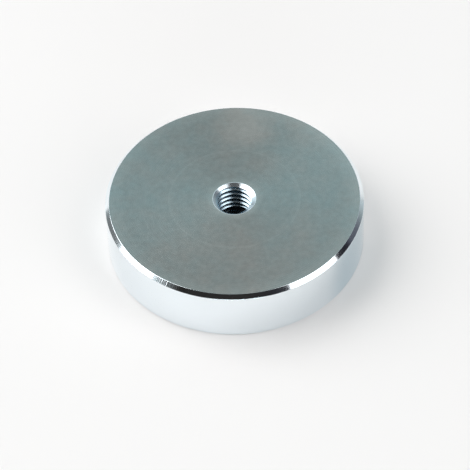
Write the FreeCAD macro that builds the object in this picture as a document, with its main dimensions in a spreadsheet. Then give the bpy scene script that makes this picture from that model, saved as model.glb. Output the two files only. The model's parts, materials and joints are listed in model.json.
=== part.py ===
import FreeCAD, Part
import os

from FreeCAD import Vector
from Sketcher import Constraint

# Threaded pot magnet: a turned steel cup with a tapped hole through its floor, and a magnet
# disc potted in the cup with black resin. Millimetres, +Z up. The origin is the middle of
# the rim plane, on which the magnet works and rests, and +Z is the axis of the thread.

doc = FreeCAD.newDocument("threaded_pot_magnet")

# Driving dimensions
SIZES = {
    "pot_diameter": 63.0,
    "pot_height": 14.0,
    "pot_wall": 5.5,
    "shoulder_chamfer": 1.0,
    "shoulder_blend": 0.25,
    "rim_outer_chamfer": 0.3,
    "rim_inner_chamfer": 0.4,
    "recess_corner": 0.5,
    "thread_major": 10.0,
    "thread_pitch": 1.5,
    "thread_angle": 60.0,
    "thread_run_in": 0.92,
    "mouth_relief": 0.5,
    "mouth_angle": 120.0,
    "magnet_thickness": 5.5,
    "magnet_edge": 0.4,
    "magnet_set_back": 0.2,
    "resin_ring": 4.0,
    "resin_bed": 0.3,
    "resin_shrink": 0.1,
}

sheet = doc.addObject("Spreadsheet::Sheet", "sizes")
for row, (alias, value) in enumerate(SIZES.items(), start=1):
    sheet.set(f"A{row}", alias.replace("_", " "))
    sheet.set(f"B{row}", str(value))
    sheet.setAlias(f"B{row}", alias)
doc.recompute()

# Sizes that follow from the driving ones. The magnet is held off the wall by the resin
# ring and off the floor by the resin bed, and the cup's floor takes what height is left.
POT_RADIUS = "sizes.pot_diameter / 2"
RECESS_RADIUS = f"({POT_RADIUS} - sizes.pot_wall)"
MAGNET_RADIUS = f"({RECESS_RADIUS} - sizes.resin_ring)"
MAGNET_TOP = "(sizes.magnet_set_back + sizes.magnet_thickness)"
RECESS_DEPTH = f"({MAGNET_TOP} + sizes.resin_bed)"
RESIN_LEVEL = "(sizes.magnet_set_back + sizes.magnet_edge + sizes.resin_shrink)"

# The thread's triangle before its tips are cut off: an eighth of its height is lost at the
# major diameter and a quarter at the bore, so the cut thread is five eighths of it deep
TRIANGLE_HEIGHT = "(sizes.thread_pitch / 2 / tan(sizes.thread_angle / 2 * 1deg))"
THREAD_RADIUS = "(sizes.thread_major / 2)"
BORE_RADIUS = f"({THREAD_RADIUS} - 5 / 8 * {TRIANGLE_HEIGHT})"
MOUTH_RADIUS = "((sizes.thread_major + sizes.mouth_relief) / 2)"


def value_of(expression):
    """Number that an expression on the sheet gives now."""
    result = sheet.evalExpression(expression)
    return float(getattr(result, "Value", result))


def origin_plane(body, role):
    """One of the body's own origin planes."""
    return next(item for item in body.Origin.OriginFeatures if item.Role == role)


def sketch_on(body, name, role):
    """Empty sketch on one of the body's origin planes."""
    sketch = body.newObject("Sketcher::SketchObject", name)
    sketch.AttachmentSupport = [(origin_plane(body, role), "")]
    sketch.MapMode = "FlatFace"
    return sketch


def draw_outline(sketch, corners):
    """Closed outline with straight sides; each corner is a pair of expressions."""
    points = [Vector(value_of(across), value_of(up), 0) for across, up in corners]
    following = [(index + 1) % len(points) for index in range(len(points))]
    for index, after in enumerate(following):
        sketch.addGeometry(Part.LineSegment(points[index], points[after]))
    for index, after in enumerate(following):
        sketch.addConstraint(Constraint("Coincident", index, 2, after, 1))
    for index, (across, up) in enumerate(corners):
        for kind, expression, size in (
            ("DistanceX", across, points[index].x),
            ("DistanceY", up, points[index].y),
        ):
            number = sketch.addConstraint(Constraint(kind, -1, 1, index, 1, size))
            sketch.setExpression(f"Constraints[{number}]", expression)


def draw_circle(sketch, radius):
    """Circle round the sketch's origin."""
    edge = sketch.addGeometry(Part.Circle(Vector(0, 0, 0), Vector(0, 0, 1), value_of(radius)))
    sketch.addConstraint(Constraint("Coincident", edge, 3, -1, 1))
    number = sketch.addConstraint(Constraint("Radius", edge, value_of(radius)))
    sketch.setExpression(f"Constraints[{number}]", radius)


def turn(body, name, corners):
    """Full turn of an outline in the XZ plane about the Z axis."""
    sketch = sketch_on(body, f"{name}_section", "XZ_Plane")
    draw_outline(sketch, corners)
    solid = body.newObject("PartDesign::Revolution", name)
    solid.Profile = sketch
    solid.ReferenceAxis = (sketch, ["V_Axis"])
    solid.Angle = 360
    doc.recompute()
    return solid


def ring_edges(shape, places):
    """Names of the circular edges that lie at the given radii and heights."""
    found = []
    for number, edge in enumerate(shape.Edges, start=1):
        if isinstance(edge.Curve, Part.Circle):
            place = Vector(edge.Curve.Radius, 0, edge.Curve.Center.z)
            if any(place.isEqual(Vector(radius, 0, height), 1e-4) for radius, height in places):
                found.append(f"Edge{number}")
    return found


def dress(body, kind, name, size, *places):
    """Chamfer or fillet on circular edges, each named by its radius and height."""
    base = body.Tip
    edges = ring_edges(base.Shape, [(value_of(radius), value_of(up)) for radius, up in places])
    if len(edges) != len(places):
        raise ValueError(f"{name}: found {len(edges)} edges, not {len(places)}")
    feature = body.newObject(f"PartDesign::{kind}", name)
    feature.Base = (base, edges)
    feature.setExpression("Size" if kind == "Chamfer" else "Radius", size)
    doc.recompute()
    return feature


def make_steel_pot():
    """Cup turned from bar: blank, tapping hole with its countersink, edges, then thread."""
    body = doc.addObject("PartDesign::Body", "steel_pot")
    body.Label = "steel_pot"
    turn(body, "cup", [
        ("0", RECESS_DEPTH),
        (RECESS_RADIUS, RECESS_DEPTH),
        (RECESS_RADIUS, "0"),
        (POT_RADIUS, "0"),
        (POT_RADIUS, "sizes.pot_height"),
        ("0", "sizes.pot_height"),
    ])
    drill_hole(body)
    dress(body, "Chamfer", "shoulder", "sizes.shoulder_chamfer",
          (POT_RADIUS, "sizes.pot_height"))
    dress(body, "Chamfer", "rim_inner_edge", "sizes.rim_inner_chamfer", (RECESS_RADIUS, "0"))
    dress(body, "Fillet", "shoulder_blends", "sizes.shoulder_blend",
          (POT_RADIUS, "sizes.pot_height - sizes.shoulder_chamfer"),
          (f"{POT_RADIUS} - sizes.shoulder_chamfer", "sizes.pot_height"))
    dress(body, "Chamfer", "rim_outer_edge", "sizes.rim_outer_chamfer", (POT_RADIUS, "0"))
    dress(body, "Chamfer", "recess_corner", "sizes.recess_corner", (RECESS_RADIUS, RECESS_DEPTH))
    tap_hole(body)
    return body


def drill_hole(body):
    """Tapping hole through the cup's floor, countersunk at the back."""
    centre = sketch_on(body, "hole_centre", "XY_Plane")
    centre.setExpression("AttachmentOffset.Base.z", "sizes.pot_height")
    draw_circle(centre, BORE_RADIUS)
    doc.recompute()
    hole = body.newObject("PartDesign::Hole", "tapping_hole")
    hole.Profile = centre
    doc.recompute()
    hole.DepthType = "ThroughAll"
    hole.setExpression("Diameter", f"2 * {BORE_RADIUS}")
    hole.HoleCutType = "Countersink"
    hole.HoleCutCustomValues = True
    hole.setExpression("HoleCutDiameter", f"2 * {MOUTH_RADIUS}")
    hole.setExpression("HoleCutCountersinkAngle", "sizes.mouth_angle")
    doc.recompute()


def tap_hole(body):
    """Right-hand thread that runs in from below the floor and out past the mouth.

    The groove's section widens inwards from an eighth of the pitch at the major diameter.
    It starts an eighth of the triangle inside the bore, where it is seven eighths wide, so
    that neighbouring turns of the cut stay apart.
    """
    untapped = body.Tip.Shape.Volume
    start = f"({RECESS_DEPTH} - sizes.thread_run_in)"
    inner = f"({BORE_RADIUS} - 1 / 8 * {TRIANGLE_HEIGHT})"
    half_root = "(1 / 16 * sizes.thread_pitch)"
    half_opening = "(7 / 16 * sizes.thread_pitch)"
    tool = sketch_on(body, "tap_section", "XZ_Plane")
    draw_outline(tool, [
        (inner, f"{start} - {half_opening}"),
        (THREAD_RADIUS, f"{start} - {half_root}"),
        (THREAD_RADIUS, f"{start} + {half_root}"),
        (inner, f"{start} + {half_opening}"),
    ])
    thread = body.newObject("PartDesign::SubtractiveHelix", "thread")
    thread.Profile = tool
    thread.ReferenceAxis = (tool, ["V_Axis"])
    thread.Mode = "pitch-height-angle"
    thread.setExpression("Pitch", "sizes.thread_pitch")
    thread.setExpression("Height", f"sizes.pot_height - {RECESS_DEPTH} + 2 * sizes.thread_pitch")
    doc.recompute()
    if body.Tip.Shape.Volume > untapped - 1:
        raise ValueError("the thread cuts nothing")


def make_magnet_disc():
    """Plain disc with broken edges, set back a little from the rim plane."""
    body = doc.addObject("PartDesign::Body", "magnet_disc")
    body.Label = "magnet_disc"
    body.setExpression("Placement.Base.z", "sizes.magnet_set_back")
    round_face = sketch_on(body, "disc_section", "XY_Plane")
    draw_circle(round_face, MAGNET_RADIUS)
    disc = body.newObject("PartDesign::Pad", "disc")
    disc.Profile = round_face
    disc.setExpression("Length", "sizes.magnet_thickness")
    doc.recompute()
    dress(body, "Chamfer", "disc_edges", "sizes.magnet_edge",
          (MAGNET_RADIUS, "0"), (MAGNET_RADIUS, "sizes.magnet_thickness"))
    return body


def make_potting_resin():
    """Resin bed over the disc and ring round it; its edges follow the cup and the disc."""
    body = doc.addObject("PartDesign::Body", "potting_resin")
    body.Label = "potting_resin"
    turn(body, "resin", [
        ("0", MAGNET_TOP),
        (MAGNET_RADIUS, MAGNET_TOP),
        (MAGNET_RADIUS, RESIN_LEVEL),
        (RECESS_RADIUS, RESIN_LEVEL),
        (RECESS_RADIUS, RECESS_DEPTH),
        ("0", RECESS_DEPTH),
    ])
    dress(body, "Chamfer", "cup_corner", "sizes.recess_corner", (RECESS_RADIUS, RECESS_DEPTH))
    dress(body, "Chamfer", "disc_corner", "sizes.magnet_edge", (MAGNET_RADIUS, MAGNET_TOP))
    return body


nodes = [make_steel_pot(), make_magnet_disc(), make_potting_resin()]
doc.recompute()

for item in doc.Objects:
    if "Invalid" in item.State or "Error" in item.State:
        raise ValueError(f"{item.Name} failed: {item.State}")
for node in nodes:
    if node.Shape.isNull() or not node.Shape.isValid() or len(node.Shape.Solids) != 1:
        raise ValueError(f"{node.Label} is not one sound solid")

os.makedirs("parts", exist_ok=True)
for node in nodes:
    node.Shape.exportStep(f"parts/{node.Label}.step")
    print(node.Label, round(node.Shape.Volume, 1), node.Shape.BoundBox)
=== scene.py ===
import json
from math import cos, pi, radians, sin, tan

import bmesh
import bpy
from mathutils import Matrix, Vector


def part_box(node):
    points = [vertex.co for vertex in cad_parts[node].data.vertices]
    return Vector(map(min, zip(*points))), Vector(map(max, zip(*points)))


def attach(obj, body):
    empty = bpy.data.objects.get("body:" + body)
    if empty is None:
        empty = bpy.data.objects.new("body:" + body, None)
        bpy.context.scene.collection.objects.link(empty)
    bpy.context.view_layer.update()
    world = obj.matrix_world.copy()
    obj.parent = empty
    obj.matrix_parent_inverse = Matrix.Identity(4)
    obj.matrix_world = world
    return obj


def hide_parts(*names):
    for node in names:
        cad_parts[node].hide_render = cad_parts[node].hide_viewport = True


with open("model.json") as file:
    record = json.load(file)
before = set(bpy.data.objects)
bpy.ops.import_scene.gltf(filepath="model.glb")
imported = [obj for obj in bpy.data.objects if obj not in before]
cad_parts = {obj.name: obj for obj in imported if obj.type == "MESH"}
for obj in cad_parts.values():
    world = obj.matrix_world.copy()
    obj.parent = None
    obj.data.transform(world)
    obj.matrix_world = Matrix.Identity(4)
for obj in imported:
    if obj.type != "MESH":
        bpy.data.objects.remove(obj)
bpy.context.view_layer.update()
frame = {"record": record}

# Turned cup: one piece of mild steel, turned from bar, its floor drilled, countersunk and
# tapped for a screw, then zinc plated bright. The back keeps the facing tool's fine rings,
# and the side, the shoulder and the thread come out nearly as smooth as a mirror.
MM = 0.001
# upper corners of the boxes of the cup and of what fills its recess, and the thread's hole
CUP_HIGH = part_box("steel_pot")[1]
FILL_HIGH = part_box("potting_resin")[1]
THREAD_MOUNT = next(m for m in frame["record"]["mounts"] if m["name"] == "thread")

CUP_RADIUS = CUP_HIGH.x
CUP_HEIGHT = CUP_HIGH.z
SHOULDER = 0.95 * MM
SHOULDER_BLEND = 0.12 * MM
RECESS_RADIUS = FILL_HIGH.x
RECESS_DEPTH = FILL_HIGH.z
RECESS_CORNER = 0.5 * MM
RIM_CHAMFER = 0.3 * MM
RIM_INNER_CHAMFER = 0.4 * MM
RIM_BLEND = 0.08 * MM

BORE_RADIUS = THREAD_MOUNT["dims"]["r_mm"] * MM
MOUTH_RADIUS = 5.25 * MM
MOUTH_BLEND = 0.28 * MM
MOUTH_SLOPE = radians(30)
MOUTH_DEPTH = (MOUTH_RADIUS - BORE_RADIUS) * tan(MOUTH_SLOPE)
INNER_MOUTH_RADIUS = 5.1 * MM
INNER_MOUTH_DEPTH = (INNER_MOUTH_RADIUS - BORE_RADIUS) * tan(MOUTH_SLOPE)
THREAD_RADIUS = 5.0 * MM
THREAD_PITCH = 1.5 * MM
THREAD_START = 3.58 * MM
TURNS_PAST_MOUTH = 1
THREAD_TURNS = (CUP_HEIGHT - THREAD_START) / THREAD_PITCH + TURNS_PAST_MOUTH

TURNED_SEGMENTS = 288
STEPS_PER_TURN = 96
ARC_STEP = radians(9)
FLAT_HOLD = 0.02 * MM
SMOOTH_BELOW = radians(30)
TOLERANCE = 0.001 * MM


def rounded(corners):
    """Closed outline whose corners (across, up, radius) are rounded by arcs.

    A point a little way off each end of an arc keeps the flat beyond it shaded flat.
    """
    points = []
    for i, (x, y, radius) in enumerate(corners):
        here = Vector((x, y))
        before = (Vector(corners[i - 1][:2]) - here).normalized()
        after = (Vector(corners[(i + 1) % len(corners)][:2]) - here).normalized()
        if radius == 0:
            points.append(here)
            continue
        half = before.angle(after) / 2
        reach = radius / tan(half)
        centre = here + (before + after).normalized() * (radius / sin(half))
        start = here + before * reach - centre
        turn = start.angle_signed(here + after * reach - centre)
        steps = max(2, round(abs(turn) / ARC_STEP))
        points.append(here + before * (reach + FLAT_HOLD))
        for k in range(steps + 1):
            points.append(centre + Matrix.Rotation(-turn * k / steps, 2) @ start)
        points.append(here + after * (reach + FLAT_HOLD))
    return points


def lathe(name, corners):
    """Object whose mesh is a rounded outline turned about Z; points on the axis are poles."""
    mesh = bmesh.new()
    turns = [2 * pi * k / TURNED_SEGMENTS for k in range(TURNED_SEGMENTS)]
    rings = []
    for point in rounded(corners):
        if point.x < TOLERANCE:
            rings.append([mesh.verts.new((0, 0, point.y))] * TURNED_SEGMENTS)
            continue
        rings.append([
            mesh.verts.new((point.x * cos(turn), point.x * sin(turn), point.y)) for turn in turns
        ])
    for i, ring in enumerate(rings):
        above = rings[(i + 1) % len(rings)]
        for k in range(TURNED_SEGMENTS):
            after = (k + 1) % TURNED_SEGMENTS
            around = dict.fromkeys((ring[k], ring[after], above[after], above[k]))
            if len(around) > 2:
                mesh.faces.new(around)
    bmesh.ops.recalc_face_normals(mesh, faces=mesh.faces)
    data = bpy.data.meshes.new(name)
    mesh.to_mesh(data)
    mesh.free()
    piece = bpy.data.objects.new(name, data)
    bpy.context.scene.collection.objects.link(piece)
    return piece


def smooth(piece):
    """Shades a piece smooth, apart from its sharper edges."""
    piece.data.shade_smooth()
    piece.data.set_sharp_from_angle(angle=SMOOTH_BELOW)


def srgb(text):
    """Linear colour of an sRGB hex value."""
    channels = [int(text[i:i + 2], 16) / 255 for i in (1, 3, 5)]
    linear = [c / 12.92 if c <= 0.04045 else ((c + 0.055) / 1.055) ** 2.4 for c in channels]
    return (*linear, 1.0)


def plug(tree, node, values):
    """Gives a node's sockets their values; a socket or a node given as one is linked."""
    for socket, value in values.items():
        if isinstance(value, bpy.types.Node):
            value = value.outputs[0]
        if isinstance(value, bpy.types.NodeSocket):
            tree.links.new(value, node.inputs[socket])
        else:
            node.inputs[socket].default_value = value


def add(tree, kind, values=None, **settings):
    """Adds a node with its settings and the values or links of its sockets."""
    node = tree.nodes.new(kind)
    for name, value in settings.items():
        setattr(node, name, value)
    plug(tree, node, values or {})
    return node


def material_of(name):
    """Named material, and its Principled shader."""
    material = bpy.data.materials.new(name)
    material.use_nodes = True
    return material, material.node_tree.nodes["Principled BSDF"]


def place_on_turned(tree, place):
    """Distance of a place from the axis of a turned piece, and its X, Y and Z."""
    parts = add(tree, "ShaderNodeSeparateXYZ", {"Vector": place}).outputs
    flat = add(tree, "ShaderNodeCombineXYZ", {"X": parts["X"], "Y": parts["Y"]})
    radius = add(tree, "ShaderNodeVectorMath", {0: flat}, operation="LENGTH")
    return radius.outputs["Value"], parts


def tool_marks(tree, along, spacing, phase):
    """Uneven tool marks: noise along one direction only, about one mark to a spacing."""
    marks = add(tree, "ShaderNodeMath", {0: along, 1: 1 / spacing, 2: phase},
                operation="MULTIPLY_ADD")
    return add(tree, "ShaderNodeTexNoise", {"W": marks, "Detail": 2.0, "Scale": 1.0},
               noise_dimensions="1D")


# The back: its colours, its marks, and how much brighter than the rest each part of it is.
# The brighter side is turned from +X, and the wedge's edges are sines of that same turn.
BACK_COOL = "#869494"
BACK_WARM = "#95938f"
CLOUD_SIZE = 9.09 * MM
# painted reflection: the film's slant and drift round the face, and its warm pale spot
REFLECTION_SLANT = -0.2
REFLECTION_DRIFT = 0.3
FILM_SHEEN_SPOT = 0.35
SHEEN_SPOT = (3.5 * MM, 23.5 * MM, CUP_HEIGHT)
SHEEN_SPOT_REACH = 10 * MM
SHEEN_SPOT_LIFT = 0.2
MOTTLE_SIZE = 1.3 * MM
RIM_LIFT_REACH = 5.5 * MM
RIM_LIFT = 0.14
MOUTH_LIFT_REACH = 2.25 * MM
MOUTH_LIFT = 0.2
BRIGHTER_SIDE = radians(45)
BRIGHTER_SIDE_LIFT = 0.18
# painted sheen: darker to front and back, and in a wedge at the back
FRONT_AND_BACK_LIFT = -0.1
WEDGE_EDGE = 0.74
WEDGE_INSIDE = 0.84
WEDGE_LIFT = -0.04
FACING_RINGS = (
    # radius, half width, lift
    (9.1 * MM, 0.4 * MM, 0.02),
    (10.9 * MM, 0.5 * MM, -0.02),
    (14.1 * MM, 0.3 * MM, -0.02),
    (15.9 * MM, 0.3 * MM, 0.05),
)
FEED = 0.45 * MM
FEED_DEPTH = 0.01 * MM


def zinc_on_faced_back():
    """Bright zinc over a faced surface: the tool's rings stretch its glints across them."""
    material, shader = material_of("bright_zinc_on_faced_steel")
    tree = material.node_tree
    place = add(tree, "ShaderNodeTexCoord").outputs["Object"]
    radius, parts = place_on_turned(tree, place)
    sine = add(tree, "ShaderNodeMath", {0: parts["Y"], 1: radius}, operation="DIVIDE")
    squared = add(tree, "ShaderNodeMath", {0: sine, 1: 2.0}, operation="POWER")

    # the clear film over the zinc goes from bluish to warm in clouds; painted reflection warms
    # it slowly round the face, and most in a spot near the back
    reflection_tint = add(tree, "ShaderNodeMath", {0: sine, 1: REFLECTION_SLANT, 2: squared},
                operation="MULTIPLY_ADD")
    cloud = add(tree, "ShaderNodeTexNoise", {
        "Vector": place, "Scale": 1 / CLOUD_SIZE, "Detail": 6.0, "Roughness": 0.65})
    off_spot = add(tree, "ShaderNodeVectorMath", {0: place, 1: SHEEN_SPOT},
                   operation="DISTANCE").outputs["Value"]
    sheen_spot = add(tree, "ShaderNodeMapRange", {
        "Value": off_spot, "From Min": SHEEN_SPOT_REACH, "From Max": 0.0},
        interpolation_type="SMOOTHSTEP")
    warm = add(tree, "ShaderNodeMath", {0: reflection_tint, 1: REFLECTION_DRIFT, 2: cloud},
               operation="MULTIPLY_ADD")
    warm = add(tree, "ShaderNodeMath", {0: sheen_spot, 1: FILM_SHEEN_SPOT, 2: warm},
               operation="MULTIPLY_ADD")
    film = add(tree, "ShaderNodeMapRange", {"Value": warm, "From Min": 0.3, "From Max": 1.0})
    tint = add(tree, "ShaderNodeMix", {"Factor": film, 6: srgb(BACK_COOL), 7: srgb(BACK_WARM)},
               data_type="RGBA").outputs[2]

    # the zinc's mottle is drawn coarser than the real one, so that it shows
    mottle = add(tree, "ShaderNodeTexNoise", {
        "Vector": place, "Scale": 1 / MOTTLE_SIZE, "Detail": 2.0})
    brightness = add(tree, "ShaderNodeMapRange", {
        "Value": mottle, "From Min": 0.3, "From Max": 0.7, "To Min": 0.99, "To Max": 1.11})

    # it is brighter near the rim and the mouth, where more zinc builds up
    rim = add(tree, "ShaderNodeMapRange", {
        "Value": radius, "From Min": CUP_RADIUS - RIM_LIFT_REACH,
        "From Max": CUP_RADIUS - SHOULDER, "To Max": RIM_LIFT}, interpolation_type="SMOOTHSTEP")
    mouth = add(tree, "ShaderNodeMapRange", {
        "Value": radius, "From Min": MOUTH_RADIUS + MOUTH_LIFT_REACH, "From Max": MOUTH_RADIUS,
        "To Max": MOUTH_LIFT}, interpolation_type="SMOOTHSTEP")

    # brighter toward the back right, and darker across from it, toward the front left
    toward_brighter_side = add(tree, "ShaderNodeVectorMath", {
        0: place, 1: Vector((cos(BRIGHTER_SIDE), sin(BRIGHTER_SIDE), 0)) / CUP_RADIUS},
        operation="DOT_PRODUCT").outputs["Value"]
    cubed = add(tree, "ShaderNodeMath", {0: toward_brighter_side, 1: 3.0}, operation="POWER")
    brighter_side_lift = add(tree, "ShaderNodeMath", {0: cubed, 1: BRIGHTER_SIDE_LIFT}, operation="MULTIPLY")
    # painted highlight: the spot near the back is painted paler too
    pale = add(tree, "ShaderNodeMath", {0: sheen_spot, 1: SHEEN_SPOT_LIFT}, operation="MULTIPLY")

    # painted sheen: the rings' glint is painted in sectors, pale to both sides, with a painted
    # dark wedge at the back
    glint = add(tree, "ShaderNodeMath", {0: squared, 1: FRONT_AND_BACK_LIFT},
                operation="MULTIPLY")
    wedge = add(tree, "ShaderNodeMapRange", {
        "Value": sine, "From Min": WEDGE_EDGE, "From Max": WEDGE_INSIDE, "To Max": WEDGE_LIFT},
        interpolation_type="SMOOTHSTEP")

    # faint rings stay where the facing tool dwelled or was lifted
    lifts = [rim, mouth, brighter_side_lift, pale, glint, wedge]
    for ring_radius, half_width, lift in FACING_RINGS:
        on_ring = add(tree, "ShaderNodeMath", {0: radius, 1: ring_radius, 2: half_width},
                      operation="COMPARE")
        lifts.append(add(tree, "ShaderNodeMath", {0: on_ring, 1: lift}, operation="MULTIPLY"))
    for lift in lifts:
        brightness = add(tree, "ShaderNodeMath", {0: brightness, 1: lift}, operation="ADD")
    colour = add(tree, "ShaderNodeMix", {"Factor": 1.0, 6: tint, 7: brightness},
                 data_type="RGBA", blend_type="MULTIPLY").outputs[2]

    # the rings of the tool's feed are drawn coarser than the real ones, so that they show
    feed = tool_marks(tree, radius, FEED, phase=3.0)
    rough = add(tree, "ShaderNodeMapRange", {"Value": feed, "To Min": 0.22, "To Max": 0.32})
    bump = add(tree, "ShaderNodeBump", {"Strength": 0.1, "Distance": FEED_DEPTH, "Height": feed})
    round_axis = add(tree, "ShaderNodeTangent", direction_type="RADIAL", axis="Z")
    plug(tree, shader, {
        "Base Color": colour, "Metallic": 1.0, "Roughness": rough, "Anisotropic": 0.35,
        "Anisotropic Rotation": 0.25, "Tangent": round_axis, "Normal": bump})
    return material


# The side and the shoulder: their angles are from the front, where Y is least, toward +X.
SIDE_BRIGHT = "#f1f8fc"
SIDE_SHADED = "#d7e5ec"
TURNING_LINES = 0.25 * MM
CHATTER_SPACING = 0.27 * MM
CHATTER_DEPTH = 0.032 * MM
CHATTER_SIDE = radians(-32)
CHATTER_REACH = radians(9)
# painted shade on the wall's right side
SHADED_SIDE = radians(67)
SHADED_REACH = radians(26)
SHADED_EVEN = radians(10.4)


def near_side(tree, angle, side, even, reach):
    """How near an angle is to a side: one close to it, and nothing past its reach."""
    off = add(tree, "ShaderNodeMath", {0: angle, 1: side}, operation="SUBTRACT")
    off = add(tree, "ShaderNodeMath", {0: off}, operation="ABSOLUTE")
    return add(tree, "ShaderNodeMapRange", {"Value": off, "From Min": reach, "From Max": even},
               interpolation_type="SMOOTHSTEP")


def zinc_on_turned_side():
    """Bright zinc over a finely turned wall: nearly a mirror, with faint lines round it."""
    material, shader = material_of("bright_zinc_on_turned_steel")
    tree = material.node_tree
    place = add(tree, "ShaderNodeTexCoord").outputs["Object"]
    parts = add(tree, "ShaderNodeSeparateXYZ", {"Vector": place}).outputs
    forward = add(tree, "ShaderNodeMath", {0: parts["Y"], 1: -1.0}, operation="MULTIPLY")
    angle = add(tree, "ShaderNodeMath", {0: parts["X"], 1: forward}, operation="ARCTAN2")
    on_shoulder = add(tree, "ShaderNodeMath", {0: parts["Z"], 1: CUP_HEIGHT - SHOULDER},
                      operation="GREATER_THAN")

    # the turning lines are drawn coarser than the real ones, so that they show
    lines = tool_marks(tree, parts["Z"], TURNING_LINES, phase=7.0)
    rough = add(tree, "ShaderNodeMapRange", {"Value": lines, "To Min": 0.07, "To Max": 0.13})

    # the tool chattered on one stretch of the shoulder; its ripples are drawn coarser too
    ripples = tool_marks(tree, angle, CHATTER_SPACING / CUP_RADIUS, phase=0.0)
    chatter = add(tree, "ShaderNodeMath", {
        0: near_side(tree, angle, CHATTER_SIDE, 0.0, CHATTER_REACH), 1: on_shoulder},
        operation="MULTIPLY")
    chatter = add(tree, "ShaderNodeMath", {0: ripples, 1: chatter}, operation="MULTIPLY")
    bump = add(tree, "ShaderNodeBump", {
        "Strength": 1.0, "Distance": CHATTER_DEPTH, "Height": chatter})

    # painted shade: the wall is painted greyer on its right side, where it reflects the floor in
    # the cup's shadow, but not on the shoulder
    painted_shade = add(tree, "ShaderNodeMath", {
        0: near_side(tree, angle, SHADED_SIDE, SHADED_EVEN, SHADED_REACH), 1: on_shoulder},
        operation="SUBTRACT", use_clamp=True)
    colour = add(tree, "ShaderNodeMix", {
        "Factor": painted_shade, 6: srgb(SIDE_BRIGHT), 7: srgb(SIDE_SHADED)}, data_type="RGBA").outputs[2]
    plug(tree, shader, {
        "Base Color": colour, "Metallic": 1.0, "Roughness": rough, "Normal": bump})
    return material


# The hole: the countersink is bright, and just below its cone the colour turns darker and bluer.
MOUTH_ZINC = "#cfd8de"
THREAD_ZINC = "#b5cad6"
DARKER_FROM = 0.02 * MM
DARKER_TO = 0.15 * MM


def zinc_in_tapped_hole():
    """Bright zinc in the hole: bright on the countersink, darker and bluer on the thread."""
    material, shader = material_of("bright_zinc_on_tapped_steel")
    tree = material.node_tree
    place = add(tree, "ShaderNodeTexCoord").outputs["Object"]
    radius, parts = place_on_turned(tree, place)
    cone = add(tree, "ShaderNodeMath", {
        0: radius, 1: tan(MOUTH_SLOPE), 2: CUP_HEIGHT - MOUTH_RADIUS * tan(MOUTH_SLOPE)},
        operation="MULTIPLY_ADD")
    below = add(tree, "ShaderNodeMath", {0: cone, 1: parts["Z"]}, operation="SUBTRACT")
    darker = add(tree, "ShaderNodeMapRange", {
        "Value": below, "From Min": DARKER_FROM, "From Max": DARKER_TO})
    colour = add(tree, "ShaderNodeMix", {
        "Factor": darker, 6: srgb(MOUTH_ZINC), 7: srgb(THREAD_ZINC)}, data_type="RGBA").outputs[2]
    rough = add(tree, "ShaderNodeMapRange", {"Value": darker, "To Min": 0.2, "To Max": 0.22})
    plug(tree, shader, {"Base Color": colour, "Metallic": 1.0, "Roughness": rough})
    return material


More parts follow.
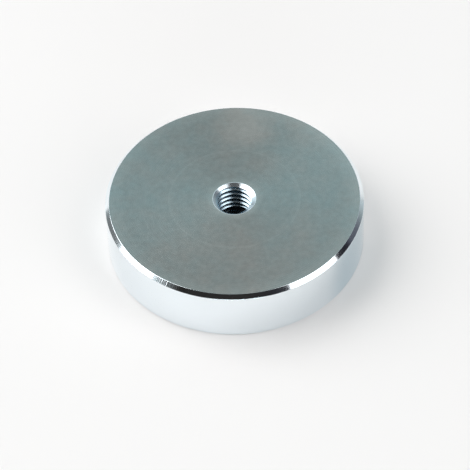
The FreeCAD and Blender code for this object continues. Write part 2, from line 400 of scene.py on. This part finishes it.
def tapped_cup_tree():
    """Taps the blank that it is given: a spiral cutter is taken away from the plain bore.

    The cutter's section is the thread groove, an eighth of the pitch wide at the thread
    radius and six eighths at the bore; a fifth of the depth further in it is seven eighths.
    """
    tree = bpy.data.node_groups.new("tapped_cup", "GeometryNodeTree")
    for name, kind in (
        ("Blank", "NodeSocketGeometry"),
        ("Bore Radius", "NodeSocketFloat"),
        ("Thread Radius", "NodeSocketFloat"),
        ("Mouth Radius", "NodeSocketFloat"),
        ("Pitch", "NodeSocketFloat"),
        ("Start", "NodeSocketFloat"),
        ("Turns", "NodeSocketFloat"),
        ("Steps per Turn", "NodeSocketInt"),
        ("Back Height", "NodeSocketFloat"),
        ("Side Finish", "NodeSocketMaterial"),
        ("Back Finish", "NodeSocketMaterial"),
        ("Thread Finish", "NodeSocketMaterial"),
    ):
        tree.interface.new_socket(name, in_out="INPUT", socket_type=kind)
    tree.interface.new_socket("Cup", in_out="OUTPUT", socket_type="NodeSocketGeometry")
    sizes = add(tree, "NodeGroupInput").outputs

    # the groove's section, and the spiral through the middle of it
    depth = add(tree, "ShaderNodeMath", {0: sizes["Thread Radius"], 1: sizes["Bore Radius"]},
                operation="SUBTRACT")
    inner = add(tree, "ShaderNodeMath", {0: depth, 1: -1 / 5, 2: sizes["Bore Radius"]},
                operation="MULTIPLY_ADD")
    across = add(tree, "ShaderNodeMath", {0: sizes["Thread Radius"], 1: inner},
                 operation="SUBTRACT")
    middle = add(tree, "ShaderNodeMath", {0: across, 1: 1 / 2, 2: inner},
                 operation="MULTIPLY_ADD")
    wide = add(tree, "ShaderNodeMath", {0: sizes["Pitch"], 1: 7 / 8}, operation="MULTIPLY")
    narrow = add(tree, "ShaderNodeMath", {0: sizes["Pitch"], 1: 1 / 8}, operation="MULTIPLY")
    rise = add(tree, "ShaderNodeMath", {0: sizes["Turns"], 1: sizes["Pitch"]},
               operation="MULTIPLY")
    helix = add(tree, "GeometryNodeCurveSpiral", {
        "Resolution": sizes["Steps per Turn"], "Rotations": sizes["Turns"],
        "Start Radius": middle, "End Radius": middle, "Height": rise, "Reverse": True})
    level = add(tree, "GeometryNodeSetCurveNormal", {"Curve": helix}, mode="Z_UP")
    groove = add(tree, "GeometryNodeCurvePrimitiveQuadrilateral", {
        "Height": across, "Bottom Width": wide, "Top Width": narrow, "Offset": 0.0},
        mode="TRAPEZOID")
    upright = add(tree, "GeometryNodeTransform", {
        "Geometry": groove, "Rotation": (0, 0, -pi / 2)})
    swept = add(tree, "GeometryNodeCurveToMesh", {
        "Curve": level, "Profile Curve": upright, "Fill Caps": True})
    lift = add(tree, "ShaderNodeCombineXYZ", {"Z": sizes["Start"]})
    cutter = add(tree, "GeometryNodeTransform", {"Geometry": swept, "Translation": lift})
    tapped = add(tree, "GeometryNodeMeshBoolean", {
        "Mesh 1": sizes["Blank"], "Mesh 2": cutter}, operation="DIFFERENCE", solver="EXACT")

    # each face takes the finish of the part of the cup that it lies on
    place = add(tree, "GeometryNodeInputPosition")
    radius, parts = place_on_turned(tree, place)
    in_hole = add(tree, "ShaderNodeMath", {0: radius, 1: sizes["Mouth Radius"]},
                  operation="LESS_THAN")
    on_back = add(tree, "ShaderNodeMath", {0: parts["Z"], 1: sizes["Back Height"]},
                  operation="GREATER_THAN")
    side = add(tree, "GeometryNodeSetMaterial", {
        "Geometry": tapped, "Material": sizes["Side Finish"]})
    back = add(tree, "GeometryNodeSetMaterial", {
        "Geometry": side, "Selection": on_back, "Material": sizes["Back Finish"]})
    thread = add(tree, "GeometryNodeSetMaterial", {
        "Geometry": back, "Selection": in_hole, "Material": sizes["Thread Finish"]})
    real = add(tree, "GeometryNodeRealizeInstances", {"Geometry": thread})
    add(tree, "NodeGroupOutput", {"Cup": real})
    return tree


def make_real(piece, tree, inputs):
    """Runs the tree on a piece and keeps the result as its plain mesh."""
    modifier = piece.modifiers.new(tree.name, "NODES")
    modifier.node_group = tree
    for item in tree.interface.items_tree:
        if item.in_out == "INPUT" and item.name in inputs:
            modifier[item.identifier] = inputs[item.name]
    evaluated = piece.evaluated_get(bpy.context.evaluated_depsgraph_get())
    blank = piece.data
    piece.data = bpy.data.meshes.new_from_object(evaluated)
    piece.modifiers.clear()
    bpy.data.meshes.remove(blank)


cup = lathe("turned_cup", [
    (BORE_RADIUS, RECESS_DEPTH + INNER_MOUTH_DEPTH, 0),
    (INNER_MOUTH_RADIUS, RECESS_DEPTH, 0),
    (RECESS_RADIUS - RECESS_CORNER, RECESS_DEPTH, 0),
    (RECESS_RADIUS, RECESS_DEPTH - RECESS_CORNER, 0),
    (RECESS_RADIUS, RIM_INNER_CHAMFER, RIM_BLEND),
    (RECESS_RADIUS + RIM_INNER_CHAMFER, 0, RIM_BLEND),
    (CUP_RADIUS - RIM_CHAMFER, 0, RIM_BLEND),
    (CUP_RADIUS, RIM_CHAMFER, RIM_BLEND),
    (CUP_RADIUS, CUP_HEIGHT - SHOULDER, SHOULDER_BLEND),
    (CUP_RADIUS - SHOULDER, CUP_HEIGHT, SHOULDER_BLEND),
    (MOUTH_RADIUS, CUP_HEIGHT, MOUTH_BLEND),
    (BORE_RADIUS, CUP_HEIGHT - MOUTH_DEPTH, 0),
])
make_real(cup, tapped_cup_tree(), {
    "Bore Radius": BORE_RADIUS,
    "Thread Radius": THREAD_RADIUS,
    "Mouth Radius": MOUTH_RADIUS,
    "Pitch": THREAD_PITCH,
    "Start": THREAD_START,
    "Turns": THREAD_TURNS,
    "Steps per Turn": STEPS_PER_TURN,
    "Back Height": CUP_HEIGHT - TOLERANCE,
    "Side Finish": zinc_on_turned_side(),
    "Back Finish": zinc_on_faced_back(),
    "Thread Finish": zinc_in_tapped_hole(),
})
smooth(cup)
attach(cup, "root")
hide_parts("steel_pot")


# Magnet: a disc pressed from sintered alloy, ground flat, its edges broken, and plated with
# nickel. It sits in the cup's recess on a thin bed of resin, just inside the rim.
MAGNET_LOW, MAGNET_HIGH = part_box("magnet_disc")
MAGNET_RADIUS = MAGNET_HIGH.x
MAGNET_EDGE = 0.4 * MM
MAGNET_ROUND = 0.15 * MM
NICKEL_COLOUR = "#cfc9be"
NICKEL_GRAIN = 1.111 * MM
NICKEL_GRAIN_DEPTH = 0.01 * MM


def nickel_on_sintered_magnet():
    """Bright nickel plate over ground sintered alloy: warm grey, with a soft even sheen."""
    material, shader = material_of("nickel_plate_on_sintered_magnet")
    tree = material.node_tree
    place = add(tree, "ShaderNodeTexCoord").outputs["Object"]
    # the grain is drawn coarser than the real one, so that it shows
    grain = add(tree, "ShaderNodeTexNoise", {
        "Vector": place, "Scale": 1 / NICKEL_GRAIN, "Detail": 3.0})
    bump = add(tree, "ShaderNodeBump", {
        "Strength": 0.2, "Distance": NICKEL_GRAIN_DEPTH, "Height": grain})
    plug(tree, shader, {
        "Base Color": srgb(NICKEL_COLOUR), "Metallic": 1.0, "Roughness": 0.28, "Normal": bump})
    return material


magnet = lathe("magnet_disc_plated", [
    (0, MAGNET_LOW.z, 0),
    (MAGNET_RADIUS - MAGNET_EDGE, MAGNET_LOW.z, MAGNET_ROUND),
    (MAGNET_RADIUS, MAGNET_LOW.z + MAGNET_EDGE, MAGNET_ROUND),
    (MAGNET_RADIUS, MAGNET_HIGH.z - MAGNET_EDGE, MAGNET_ROUND),
    (MAGNET_RADIUS - MAGNET_EDGE, MAGNET_HIGH.z, MAGNET_ROUND),
    (0, MAGNET_HIGH.z, 0),
])
smooth(magnet)
magnet.data.materials.append(nickel_on_sintered_magnet())
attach(magnet, "root")
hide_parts("magnet_disc")


# Potting resin: black epoxy poured round the magnet, where it creeps up both walls as it
# cures, and under it as a thin bed, which is what is seen at the bottom of the tapped hole.
RESIN_LEVEL = 0.7 * MM
RESIN_CREEP = 0.25 * MM
RESIN_CREEP_WIDTH = 0.9 * MM
RESIN_CREEP_ROUND = 0.6 * MM
RESIN_COLOUR = "#16171a"
RESIN_WAVE = 6.25 * MM
RESIN_WAVE_DEPTH = 0.05 * MM


def cured_black_epoxy():
    """Poured black epoxy: a smooth gloss skin with slight waves where it shrank."""
    material, shader = material_of("cured_black_epoxy")
    tree = material.node_tree
    place = add(tree, "ShaderNodeTexCoord").outputs["Object"]
    wave = add(tree, "ShaderNodeTexNoise", {
        "Vector": place, "Scale": 1 / RESIN_WAVE, "Detail": 1.0})
    bump = add(tree, "ShaderNodeBump", {
        "Strength": 0.3, "Distance": RESIN_WAVE_DEPTH, "Height": wave})
    plug(tree, shader, {
        "Base Color": srgb(RESIN_COLOUR), "Roughness": 0.22, "Normal": bump})
    return material


resin = lathe("black_potting_resin", [
    (0, MAGNET_HIGH.z, 0),
    (MAGNET_RADIUS - MAGNET_EDGE, MAGNET_HIGH.z, MAGNET_ROUND),
    (MAGNET_RADIUS, MAGNET_HIGH.z - MAGNET_EDGE, MAGNET_ROUND),
    (MAGNET_RADIUS, RESIN_LEVEL - RESIN_CREEP, 0),
    (MAGNET_RADIUS + RESIN_CREEP_WIDTH, RESIN_LEVEL, RESIN_CREEP_ROUND),
    (RECESS_RADIUS - RESIN_CREEP_WIDTH, RESIN_LEVEL, RESIN_CREEP_ROUND),
    (RECESS_RADIUS, RESIN_LEVEL - RESIN_CREEP, 0),
    (RECESS_RADIUS, RECESS_DEPTH - RECESS_CORNER, 0),
    (RECESS_RADIUS - RECESS_CORNER, RECESS_DEPTH, 0),
    (INNER_MOUTH_RADIUS, RECESS_DEPTH, 0),
    (BORE_RADIUS, RECESS_DEPTH + INNER_MOUTH_DEPTH, 0),
    (0, RECESS_DEPTH + INNER_MOUTH_DEPTH, 0),
])
smooth(resin)
resin.data.materials.append(cured_black_epoxy())
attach(resin, "root")
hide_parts("potting_resin")


# Camera: looks down on the back of the cup from the height at which the photograph was
# taken, at the real distance, with the long lens that goes with it.
CAMERA_DISTANCE = 473.47 * MM
CAMERA_HEIGHT = 536.22 * MM
CAMERA_DOWN = radians(48.527)
CAMERA_YAW = radians(0.025)
CAMERA_ROLL = radians(-2.276)
SENSOR_WIDTH = 36
FOCAL_PIXELS = 2898.7
IMAGE_WIDTH = 470

camera_data = bpy.data.cameras.new("camera")
camera_data.sensor_width = SENSOR_WIDTH
camera_data.lens = FOCAL_PIXELS * SENSOR_WIDTH / IMAGE_WIDTH
camera_data.clip_start = 50 * MM
camera_data.clip_end = 20000 * MM
camera = bpy.data.objects.new("camera", camera_data)
bpy.context.scene.collection.objects.link(camera)
camera.matrix_world = (
    Matrix.Translation((0, -CAMERA_DISTANCE, CAMERA_HEIGHT))
    @ Matrix.Rotation(CAMERA_YAW, 4, "Z")
    @ Matrix.Rotation(pi / 2 - CAMERA_DOWN, 4, "X")
    @ Matrix.Rotation(CAMERA_ROLL, 4, "Z")
)
bpy.context.scene.camera = camera


# Floor: plain white card, lying flat under the cup, wide enough to fill every view from
# above. It keeps the cup's shadow.
FLOOR_RADIUS = 4000 * MM
FLOOR_SIDES = 96
CARD_COLOUR = "#f1ecea"


def white_card():
    """Uncoated white card: fully matt."""
    material, shader = material_of("matt_white_card")
    plug(material.node_tree, shader, {
        "Base Color": srgb(CARD_COLOUR), "Roughness": 0.9, "Specular IOR Level": 0.1})
    return material


floor_mesh = bmesh.new()
bmesh.ops.create_circle(floor_mesh, cap_ends=True, segments=FLOOR_SIDES, radius=FLOOR_RADIUS)
floor_data = bpy.data.meshes.new("floor")
floor_mesh.to_mesh(floor_data)
floor_mesh.free()
floor = bpy.data.objects.new("floor", floor_data)
bpy.context.scene.collection.objects.link(floor)
floor.data.materials.append(white_card())


# Light: two big soft boxes, left and right, in a pale room. The left one is the stronger,
# so the soft shadow falls to the right; the camera stands in the dark part of the room.
BOX_DISTANCE = 1200 * MM
SOFT_BOXES = (
    # name, azimuth, elevation, turn, width and height as angles, brightness
    ("left_soft_box", 168, 44, 6, 53.5, 56, 2.66),
    ("right_soft_box", -23, 40, -14, 37, 52, 2.31),
)
ROOM_PARTS = (
    # azimuth, elevation, angle of the even middle, angle where it ends, times as bright
    (-93, 50, 33, 50, 0.05),
    (5, 20, 4, 42, 0.25),
    (1, 22, 4, 12, 0.15),
    (152, 9, 5, 22, 0.33),
    (214, 34, 4, 13, 0.35),
    (87, 48, 18, 36, 1.8),
    (-90, 74, 8, 20, 4.5),
    (134, 24, 8, 18, 2.2),
    (-90, 12, 14, 24, 18.0),
)
# heights are sines of the elevation, and right is the direction's X
HORIZON_UP = 0.03
HORIZON_LEVEL = 0.64
ROOM_UP = 0.25
ROOM_LEVEL = 0.5
PALE_LEVEL = 0.3
PALE_CAST = "#ecfbff"
DARK_LEFT_CAST = "#fdf1ea"
DARK_RIGHT_CAST = "#dfdcff"
RIGHT_FROM = 0.1
RIGHT_TO = 0.6


def pointing(azimuth, elevation):
    """Unit vector toward a direction in degrees."""
    flat = cos(radians(elevation))
    return Vector((
        cos(radians(azimuth)) * flat, sin(radians(azimuth)) * flat, sin(radians(elevation))))


for name, azimuth, elevation, turn, width, height, radiance in SOFT_BOXES:
    box = bpy.data.lights.new(name, "AREA")
    box.shape = "RECTANGLE"
    box.size = 2 * BOX_DISTANCE * tan(radians(width / 2))
    box.size_y = 2 * BOX_DISTANCE * tan(radians(height / 2))
    # a flat lamp of this power has that radiance
    box.energy = radiance * box.size * box.size_y * pi
    lamp = bpy.data.objects.new(name, box)
    bpy.context.scene.collection.objects.link(lamp)
    out = pointing(azimuth, elevation)
    lamp.matrix_world = (
        Matrix.Translation(out * BOX_DISTANCE)
        @ out.to_track_quat("Z", "Y").to_matrix().to_4x4()
        @ Matrix.Rotation(radians(turn), 4, "Z")
    )

room = bpy.data.worlds.new("pale_room")
bpy.context.scene.world = room
room.use_nodes = True
sky = room.node_tree
direction = add(sky, "ShaderNodeTexCoord").outputs["Generated"]
ways = add(sky, "ShaderNodeSeparateXYZ", {"Vector": direction}).outputs
level = add(sky, "ShaderNodeMapRange", {
    "Value": ways["Z"], "From Min": HORIZON_UP, "From Max": ROOM_UP,
    "To Min": HORIZON_LEVEL, "To Max": ROOM_LEVEL})
for azimuth, elevation, even, end, times in ROOM_PARTS:
    near = add(sky, "ShaderNodeVectorMath", {0: direction, 1: pointing(azimuth, elevation)},
               operation="DOT_PRODUCT").outputs["Value"]
    factor = add(sky, "ShaderNodeMapRange", {
        "Value": near, "From Min": cos(radians(end)), "From Max": cos(radians(even)),
        "To Min": 1.0, "To Max": times}, interpolation_type="SMOOTHSTEP")
    level = add(sky, "ShaderNodeMath", {0: level, 1: factor}, operation="MULTIPLY")

# its dark parts are warm on the left and violet on the right, and its pale parts are bluish
rightward = add(sky, "ShaderNodeMapRange", {
    "Value": ways["X"], "From Min": RIGHT_FROM, "From Max": RIGHT_TO})
dark = add(sky, "ShaderNodeMix", {
    "Factor": rightward, 6: srgb(DARK_LEFT_CAST), 7: srgb(DARK_RIGHT_CAST)},
    data_type="RGBA").outputs[2]
paleness = add(sky, "ShaderNodeMapRange", {"Value": level, "From Max": PALE_LEVEL})
cast = add(sky, "ShaderNodeMix", {"Factor": paleness, 6: dark, 7: srgb(PALE_CAST)},
           data_type="RGBA").outputs[2]
plug(sky, sky.nodes["Background"], {"Color": cast, "Strength": level})

bpy.context.scene.view_settings.view_transform = "Standard"
